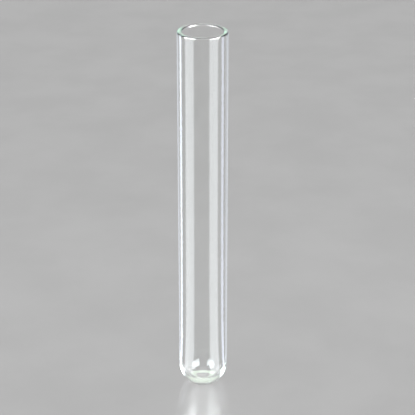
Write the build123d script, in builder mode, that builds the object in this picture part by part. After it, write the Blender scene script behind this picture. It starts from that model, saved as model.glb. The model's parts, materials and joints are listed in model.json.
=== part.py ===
"""Rimless laboratory test tube of 16 by 125 mm, drawn from one piece of clear glass.

The tube stands upright along +Z, with its origin at the middle of the small flat that it stands on.
Above a round bottom, which is a little heavier than the wall where it curves, the wall is a plain cylinder.
Its mouth is cut off square, and a flame has taken the sharpness off both edges of the cut.
"""

import math
import os

from build123d import *

# Driving dimensions, in millimetres.
outside_diameter = 16.0
overall_length = 125.0
wall_thickness = 1.5
base_thickness = 1.5  # glass under the bore, on the axis
flat_diameter = 5.6  # where the plane of the flat cuts the round bottom
flat_edge_radius = 1.0  # of the soft edge between the flat and the round bottom
lip_edge_radius = 0.4  # of both edges of the cut lip

# Worked out from them.
outer_radius = outside_diameter / 2
bore_radius = outer_radius - wall_thickness
flat_radius = flat_diameter / 2
outer_springing = math.sqrt(outer_radius**2 - flat_radius**2)  # height at which the round bottom meets the wall
bore_springing = base_thickness + bore_radius  # the same, inside


def corner_near(sketch: BuildSketch, radius: float, height: float) -> Vertex:
    """The corner of a half section that is nearest to a given radius and height."""
    return sketch.vertices().sort_by_distance((radius, height, 0))[0]


with BuildPart() as glass_tube:
    with BuildSketch(Plane.XZ) as half_section:
        with BuildLine():
            # The outside, from the middle of the flat up to the lip.
            Line((0, 0), (flat_radius, 0))
            RadiusArc((flat_radius, 0), (outer_radius, outer_springing), -outer_radius)
            Line((outer_radius, outer_springing), (outer_radius, overall_length))
            Line((outer_radius, overall_length), (bore_radius, overall_length))
            # The inside, from the lip down to the bottom of the bore.
            Line((bore_radius, overall_length), (bore_radius, bore_springing))
            RadiusArc((bore_radius, bore_springing), (0, base_thickness), bore_radius)
            Line((0, base_thickness), (0, 0))
        make_face()
        fillet(corner_near(half_section, flat_radius, 0), flat_edge_radius)
        for lip_radius in (outer_radius, bore_radius):
            fillet(corner_near(half_section, lip_radius, overall_length), lip_edge_radius)
    revolve(axis=Axis.Z)
glass_tube.part.label = "glass_tube"

os.makedirs("parts", exist_ok=True)
export_step(glass_tube.part, "parts/glass_tube.step")
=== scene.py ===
"""A rimless glass test tube standing on a pale polished floor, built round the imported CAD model.

The whole tube is one piece of glass, so one closed mesh stands for the one CAD node. It is turned from the
same half section as the CAD solid, finely enough for smooth refraction. It has the small faults of drawn
glass: long draw lines, a bore that is a little off centre, and a lip that the flame left slightly uneven.

Clear glass shows little but what it mirrors and bends. So it has lights of its own, which
leave the floor plain.
"""

import json
import math
import random

import bpy
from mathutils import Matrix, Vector


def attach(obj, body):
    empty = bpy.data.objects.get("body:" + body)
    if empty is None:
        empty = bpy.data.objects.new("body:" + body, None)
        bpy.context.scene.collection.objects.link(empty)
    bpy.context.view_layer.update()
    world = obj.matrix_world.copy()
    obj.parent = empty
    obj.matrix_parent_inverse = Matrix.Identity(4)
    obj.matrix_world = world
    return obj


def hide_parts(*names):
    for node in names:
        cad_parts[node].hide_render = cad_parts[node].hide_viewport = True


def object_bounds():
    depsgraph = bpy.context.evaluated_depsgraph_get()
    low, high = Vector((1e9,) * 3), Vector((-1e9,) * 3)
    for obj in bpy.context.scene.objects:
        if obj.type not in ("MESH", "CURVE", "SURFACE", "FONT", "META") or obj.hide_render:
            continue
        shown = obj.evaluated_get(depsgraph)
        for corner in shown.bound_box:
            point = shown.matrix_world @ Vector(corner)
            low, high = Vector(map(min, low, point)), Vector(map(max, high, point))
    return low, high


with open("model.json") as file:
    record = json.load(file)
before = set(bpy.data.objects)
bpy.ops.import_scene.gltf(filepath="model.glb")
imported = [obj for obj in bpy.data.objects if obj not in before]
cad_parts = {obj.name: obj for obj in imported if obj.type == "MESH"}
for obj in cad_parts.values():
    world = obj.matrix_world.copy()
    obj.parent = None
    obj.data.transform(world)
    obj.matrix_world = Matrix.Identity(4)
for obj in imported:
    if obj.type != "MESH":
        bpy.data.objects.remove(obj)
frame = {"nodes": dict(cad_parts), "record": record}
cad_low, cad_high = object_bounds()

MM = 0.001
WHITE = (1, 1, 1)

# Sizes of the glass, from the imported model.
mounts = {mount["name"]: mount["dims"] for mount in frame["record"]["mounts"]}
outer_radius = mounts["outer_wall"]["r_mm"] * MM
bore_radius = mounts["mouth_bore"]["r_mm"] * MM
tube_length = cad_high[2] - cad_low[2]
cad_points = [vertex.co for vertex in frame["nodes"]["glass_tube"].data.vertices]
base_thickness = max(point.z for point in cad_points if point.xy.length < 0.01 * MM)
# Its small roundings and its flat, as they are in the part's source.
lip_edge_radius = 0.4 * MM
flat_edge_radius = 1.0 * MM
flat_radius = 2.8 * MM

# Faults of the glass. The draw lines outside are so shallow that the tube stays as wide as the CAD model.
bore_off_centre = 0.03 * MM
draw_waves = 9  # which add up to the draw lines
draw_lines_outside = 0.0025 * MM
draw_lines_inside = 0.006 * MM
lip_unevenness = 0.03 * MM
uneven_from = 0.985  # of the tube's length; the lip's unevenness fades out down to here

points_around = 256  # in each ring of the turned glass

# What the glass does to light.
refraction = 1.52
tint = (0.35, 0.54, 0.43, 1)
tint_density = 13

# The floor, a disc that bends up into a low wall.
floor_flat, floor_bend, floor_wall = 1.2, 0.4, 0.3
floor_sides = 96


def arc(middle, radius, start, end, steps):
    """Points (radius, height) on a circle of the half section, from one angle in degrees to another."""
    angles = [math.radians(start + (end - start) * i / steps) for i in range(steps + 1)]
    return [(middle[0] + radius * math.cos(a), middle[1] + radius * math.sin(a)) for a in angles]


def between(start, end, steps):
    """Points on a straight line of the half section, without its two ends."""
    return [tuple(a + (b - a) * i / steps for a, b in zip(start, end)) for i in range(1, steps)]


def outside_of_bottom():
    """From the flat's edge to where the straight wall starts."""
    ball_height = math.sqrt(outer_radius**2 - flat_radius**2)
    # The soft edge is a circle that touches the floor, and the ball from inside.
    edge_height = flat_edge_radius
    edge_radius = math.sqrt((outer_radius - flat_edge_radius) ** 2 - (ball_height - edge_height) ** 2)
    leaves = math.degrees(math.atan2(edge_height - ball_height, edge_radius))
    edge = arc((edge_radius, edge_height), flat_edge_radius, -90, leaves, steps=8)
    return edge + arc((0, ball_height), outer_radius, leaves, 0, steps=40)[1:]


def half_section():
    """The outline that is turned: outside from the flat up over the lip, and inside down the bore."""
    bottom = outside_of_bottom()
    edge_height = tube_length - lip_edge_radius
    lip_outside = arc((outer_radius - lip_edge_radius, edge_height), lip_edge_radius, 0, 90, steps=10)
    lip_inside = arc((bore_radius + lip_edge_radius, edge_height), lip_edge_radius, 90, 180, steps=10)
    well = arc((0, base_thickness + bore_radius), bore_radius, 0, -90, steps=44)[:-1]
    outside = bottom + between(bottom[-1], lip_outside[0], steps=60) + lip_outside
    outside += between(lip_outside[-1], lip_inside[0], steps=4)
    inside = lip_inside + between(lip_inside[-1], well[0], steps=60) + well
    return outside, inside


def turned_glass():
    """The closed glass mesh: the half section turned round the axis, with the faults of drawn glass."""
    outside, inside = half_section()
    outline = outside + inside
    draw = random.Random(16125)
    # Each wave has how often it repeats round the tube, how far it is turned and its size.
    waves = []
    for _ in range(draw_waves):
        waves.append((draw.randint(5, 42), draw.uniform(0, math.tau), draw.uniform(0.3, 1)))
    lobes = [(count, draw.uniform(0, math.tau)) for count in (2, 3, 5)]

    def placed(index, angle):
        """A point of the outline, turned to an angle and moved by the faults."""
        radius, height = outline[index]
        is_inside = index >= len(outside)
        ripple = sum(size * math.cos(count * angle + turn) for count, turn, size in waves) / len(waves)
        fade = min(1, radius / bore_radius) ** 2
        radius += ripple * fade * (draw_lines_inside if is_inside else draw_lines_outside)
        near_lip = max(0, height / tube_length - uneven_from) / (1 - uneven_from)
        dip = sum(math.cos(count * angle + turn) for count, turn in lobes) / len(lobes) - 1
        height += near_lip**2 * lip_unevenness * dip
        aside = bore_off_centre * fade if is_inside else 0
        return (radius * math.cos(angle) + aside, radius * math.sin(angle), height)

    angles = [math.tau * j / points_around for j in range(points_around)]
    vertices = [placed(i, angle) for i in range(len(outline)) for angle in angles]
    underneath, well_bottom = len(vertices), len(vertices) + 1
    vertices += [(0, 0, 0), (0, 0, base_thickness)]
    last_ring = underneath - points_around
    faces = []
    for j in range(points_around):
        k = (j + 1) % points_around
        for ring in range(0, last_ring, points_around):
            faces.append((ring + j, ring + k, ring + points_around + k, ring + points_around + j))
        faces.append((underneath, k, j))
        faces.append((last_ring + j, last_ring + k, well_bottom))
    mesh = bpy.data.meshes.new("glass")
    mesh.from_pydata(vertices, [], faces)
    mesh.shade_smooth()
    return mesh


class Nodes:
    """A node tree, with short ways to add nodes and to join them."""

    def __init__(self, tree):
        self.tree = tree

    def add(self, kind, values=None, **settings):
        """A new node. Its values go by the name or the place of the socket, and may be sockets to join."""
        node = self.tree.nodes.new(kind)
        for name, setting in settings.items():
            setattr(node, name, setting)
        for socket, value in (values or {}).items():
            if isinstance(value, bpy.types.NodeSocket):
                self.join(value, node.inputs[socket])
            else:
                node.inputs[socket].default_value = value
        return node

    def join(self, source, target):
        self.tree.links.new(source, target)

    def calculate(self, operation, *values):
        node = self.add("ShaderNodeMath", dict(enumerate(values)), operation=operation)
        return node.outputs["Value"]

    def noise(self, scale, detail=4, stretch=(1, 1, 1)):
        """Noise in the object's own coordinates. A stretch below 1 draws it out along that axis."""
        place = self.add("ShaderNodeTexCoord").outputs["Object"]
        spread = self.add("ShaderNodeMapping", {"Vector": place, "Scale": stretch}).outputs["Vector"]
        noise = self.add("ShaderNodeTexNoise", {"Vector": spread, "Scale": scale, "Detail": detail})
        return noise.outputs["Fac"]

    def ramp(self, source, low, high, start, end, kind="SMOOTHSTEP"):
        """A number that goes from start to end while the source goes from low to high."""
        values = {"Value": source, "From Min": low, "From Max": high, "To Min": start, "To Max": end}
        return self.add("ShaderNodeMapRange", values, interpolation_type=kind).outputs["Result"]


def new_material(name):
    """A material, its nodes and its Principled shader."""
    material = bpy.data.materials.new(name)
    material.use_nodes = True
    return material, Nodes(material.node_tree), material.node_tree.nodes["Principled BSDF"]


def glass_material():
    """Clear soda-lime glass: its faint green shows only along a long way through it.

    The surface has fine draw lines along the tube, and a few patches that fingers left slightly dull.
    """
    material, nodes, shader = new_material("clear_glass")
    shader.inputs["Transmission Weight"].default_value = 1
    shader.inputs["IOR"].default_value = refraction

    handled = nodes.ramp(nodes.noise(scale=90, stretch=(1, 1, 0.4)), low=0.55, high=0.75, start=0, end=1)
    dulled = nodes.ramp(handled, low=0, high=1, start=0, end=0.035)
    nodes.join(dulled, shader.inputs["Roughness"])
    shade = nodes.add("ShaderNodeMix", data_type="RGBA")
    # A Mix node's sockets have the same names for every type of data. These are its A, B and Result for
    # colours.
    shade.inputs[6].default_value = (1, 1, 1, 1)
    shade.inputs[7].default_value = (0.96, 0.975, 0.97, 1)
    nodes.join(handled, shade.inputs["Factor"])
    nodes.join(shade.outputs[2], shader.inputs["Base Color"])

    lines = nodes.noise(scale=1400, detail=2, stretch=(1, 1, 0.02))
    bump = nodes.add("ShaderNodeBump", {"Height": lines, "Strength": 0.35, "Distance": 0.004 * MM})
    nodes.join(bump.outputs["Normal"], shader.inputs["Normal"])

    volume = nodes.add("ShaderNodeVolumeAbsorption", {"Color": tint, "Density": tint_density})
    nodes.join(volume.outputs["Volume"], nodes.tree.nodes["Material Output"].inputs["Volume"])
    return material


def floor_material():
    """A polished pale surface with a faint mottle, a little lighter where it curves up into the wall."""
    material, nodes, shader = new_material("floor")
    place = nodes.add("ShaderNodeTexCoord").outputs["Object"]
    away = nodes.add("ShaderNodeVectorMath", {0: place}, operation="LENGTH").outputs["Value"]
    brightness = nodes.ramp(away, low=0.5, high=1.5, start=0.6, end=0.7)
    mottle = nodes.ramp(nodes.noise(scale=30, detail=6), low=0.3, high=0.7, start=0.97, end=1.03)
    nodes.join(nodes.calculate("MULTIPLY", brightness, mottle), shader.inputs["Base Color"])
    polish = nodes.ramp(nodes.noise(scale=12), low=0.3, high=0.7, start=0.11, end=0.14)
    nodes.join(polish, shader.inputs["Roughness"])
    return material


def cove():
    """A round floor that curves up into a low wall, so that it looks the same from every side."""
    outline = arc((floor_flat, floor_bend), floor_bend, -90, 0, steps=16)
    outline.append((floor_flat + floor_bend, floor_bend + floor_wall))
    turns = [math.tau * j / floor_sides for j in range(floor_sides)]
    vertices = []
    for radius, height in outline:
        vertices += [(radius * math.cos(t), radius * math.sin(t), height) for t in turns]
    faces = [tuple(range(floor_sides))]
    for ring in range(0, len(vertices) - floor_sides, floor_sides):
        for j in range(floor_sides):
            k = (j + 1) % floor_sides
            faces.append((ring + k, ring + j, ring + floor_sides + j, ring + floor_sides + k))
    mesh = bpy.data.meshes.new("floor")
    mesh.from_pydata(vertices, [], faces)
    mesh.shade_smooth()
    mesh.materials.append(floor_material())
    floor = bpy.data.objects.new("floor", mesh)
    bpy.context.scene.collection.objects.link(floor)


def area_light(name, place, aim, width, height, radiance, colour=WHITE, shape="RECTANGLE"):
    """An area light that the camera doesn't see. Its power grows with its area, so its size can change."""
    light = bpy.data.lights.new(name, "AREA")
    light.shape = shape
    light.size, light.size_y = width, height
    light.energy = radiance * math.pi * width * height
    light.color = colour
    lamp = bpy.data.objects.new(name, light)
    lamp.location = place
    lamp.rotation_euler = (Vector(aim) - lamp.location).to_track_quat("-Z", "Y").to_euler()
    lamp.visible_camera = False
    bpy.context.scene.collection.objects.link(lamp)
    return lamp


def softbox(azimuth, distance, elevations, width, radiance, colour=WHITE):
    """An upright softbox that faces the tube, between two elevations in degrees.

    The azimuth is in degrees from straight behind the tube towards the right.
    """
    turn = math.radians(azimuth)
    low, high = (distance * math.tan(math.radians(angle)) for angle in elevations)
    place = (distance * math.sin(turn), distance * math.cos(turn), (low + high) / 2)
    aim = (0, 0, place[2])
    return area_light(f"softbox_{azimuth}", place, aim, width, high - low, radiance, colour)


def strips_of_light(lamp, inner_radius):
    """Makes a light bright only in strips that run outwards from the tube, as tall softboxes would be."""
    lamp.data.use_nodes = True
    nodes = Nodes(lamp.data.node_tree)
    place = nodes.add("ShaderNodeNewGeometry").outputs["Position"]
    parts = nodes.add("ShaderNodeSeparateXYZ", {"Vector": place})
    x, y = parts.outputs["X"], parts.outputs["Y"]
    # From straight in front of the tube, left is negative and right is positive.
    turn = nodes.calculate("ARCTAN2", x, nodes.calculate("MULTIPLY", y, -1))
    share = nodes.calculate("MULTIPLY_ADD", turn, 0.5 / math.pi, 0.5)
    ramp = nodes.add("ShaderNodeValToRGB", {"Fac": share})
    squares = [nodes.calculate("MULTIPLY", part, part) for part in (x, y)]
    away = nodes.calculate("SQRT", nodes.calculate("ADD", *squares))
    fade = nodes.ramp(away, low=inner_radius, high=2 * inner_radius, start=0, end=1, kind="LINEAR")
    emission = nodes.tree.nodes["Emission"]
    nodes.join(ramp.outputs["Color"], emission.inputs["Color"])
    nodes.join(fade, emission.inputs["Strength"])

    dark, cool, blue, faint = (0, 0, 0), (0.93, 0.98, 1), (0.6, 0.66, 0.82), (0.1, 0.11, 0.13)
    # Each strip's two edges in degrees, how soft they are, and its colour.
    strips = [
        (-170, -133, 5, faint),
        (-122, -111, 5, (0.9, 1, 1.15)),
        (-80, -44, 8, cool),
        (34, 68, 8, cool),
        (95, 108, 4, blue),
        (126, 170, 6, faint),
    ]
    stops = []
    for start, end, soft, colour in strips:
        stops += [(start - soft, dark), (start, colour), (end, colour), (end + soft, dark)]
    while len(ramp.color_ramp.elements) < len(stops):
        ramp.color_ramp.elements.new(0.5)
    for element, (degrees, colour) in zip(ramp.color_ramp.elements, stops):
        element.position = 0.5 + degrees / 360
        element.color = (*colour, 1)


def reflectors():
    """Lights low round the tube, which its surface mirrors but which aren't seen through the glass.

    The upright wall mirrors what lies on the floor, or near the horizon in a low view. This gives it the
    tall bright bands and thin lines that softboxes mirrored in a polished bench would, and leaves the floor
    plain. The walls stand where the floor is still flat, because the cove would hide them further out.
    """
    half, tall, radiance = 0.8, 0.5, 6
    lamps = [area_light("reflector_floor", (0, 0, 0.1 * MM), (0, 0, 1), 2 * half, 2 * half, radiance)]
    for x, y in ((half, 0), (-half, 0), (0, half), (0, -half)):
        place = (x, y, tall / 2)
        lamps.append(area_light("reflector_wall", place, (0, 0, tall / 2), 2 * half, tall, radiance))
    for lamp in lamps:
        lamp.visible_transmission = lamp.visible_diffuse = False
        strips_of_light(lamp, inner_radius=10 * MM)
    return lamps


def softboxes():
    """Softboxes on both sides and one behind, for the bright spots at the bottom and on the lip.

    They start above the horizon, so that no low view looks straight at them through the glass.
    """
    cool = (0.9, 0.97, 1)
    lamps = []
    for side in (-1, 1):
        lamps.append(softbox(side * 122, 0.8, elevations=(14, 46), width=0.86, radiance=24, colour=cool))
        mostly_on_lip = softbox(side * 112, 1.0, elevations=(14, 60), width=0.9, radiance=50)
        mostly_on_lip.visible_transmission = False
        lamps.append(mostly_on_lip)
    lamps.append(softbox(0, 1.1, elevations=(14, 40), width=0.5, radiance=1.6))
    return lamps


def glows():
    """Two discs of light on the floor, which show in the thick glass at the bottom of the tube.

    They lie in one plane, where only the first to be made counts. So the small disc's fainter light takes
    the place of the large one's in the middle, and they have to be made in this order.
    """
    small, large = 6 * MM, 12.5 * MM
    lamps = []
    for diameter, radiance, colour in ((small, 0.15, WHITE), (large, 0.42, (0.82, 1, 0.8))):
        place, aim = (0, 0, 0.05 * MM), (0, 0, 1)
        glow = area_light("glow", place, aim, diameter, diameter, radiance, colour, shape="DISK")
        glow.visible_glossy = glow.visible_diffuse = False
        lamps.append(glow)
    return lamps


def studio(tube):
    """Soft light from above and all round for the floor, and lights of their own for the glass.

    The glass's own lights are linked to it, so the polished floor neither mirrors them nor is lit by them.
    """
    area_light("overhead", place=(0, 0, 2), aim=(0, 0, 0), width=1.6, height=1.6, radiance=1.2)
    glass_only = bpy.data.collections.new("glass_only")
    glass_only.objects.link(tube)
    for lamp in reflectors() + softboxes() + glows():
        lamp.light_linking.receiver_collection = glass_only
    world = bpy.data.worlds.new("world")
    world.use_nodes = True
    world.node_tree.nodes["Background"].inputs["Color"].default_value = (0.6, 0.6, 0.6, 1)
    bpy.context.scene.world = world


def camera():
    """The camera at the photo's viewing angle. Its place is in tube diameters."""
    aside, back, up = 0.0947, 27.22, 16.44
    looks_down = 24.43  # degrees
    diameter = 2 * outer_radius
    data = bpy.data.cameras.new("camera")
    data.sensor_width = 36
    data.lens = 127.6
    data.clip_start, data.clip_end = 0.01, 20
    view = bpy.data.objects.new("camera", data)
    view.location = (aside * diameter, -back * diameter, up * diameter)
    view.rotation_euler = (math.radians(90 - looks_down), 0, 0)
    bpy.context.scene.collection.objects.link(view)
    bpy.context.scene.camera = view


tube = bpy.data.objects.new("glass_test_tube", turned_glass())
tube.data.materials.append(glass_material())
# The floor is lit as if the tube weren't there: no shadow, and no bright spot where the glass gathers light.
tube.visible_diffuse = False
tube.visible_shadow = False
bpy.context.scene.collection.objects.link(tube)
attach(tube, "root")
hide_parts("glass_tube")

cove()
studio(tube)
camera()

scene = bpy.context.scene
scene.view_settings.view_transform = "Standard"
# Light runs along inside the wall with many bounces before it comes out at the lip.
scene.cycles.max_bounces = 64
scene.cycles.transmission_bounces = 64
scene.cycles.glossy_bounces = 64
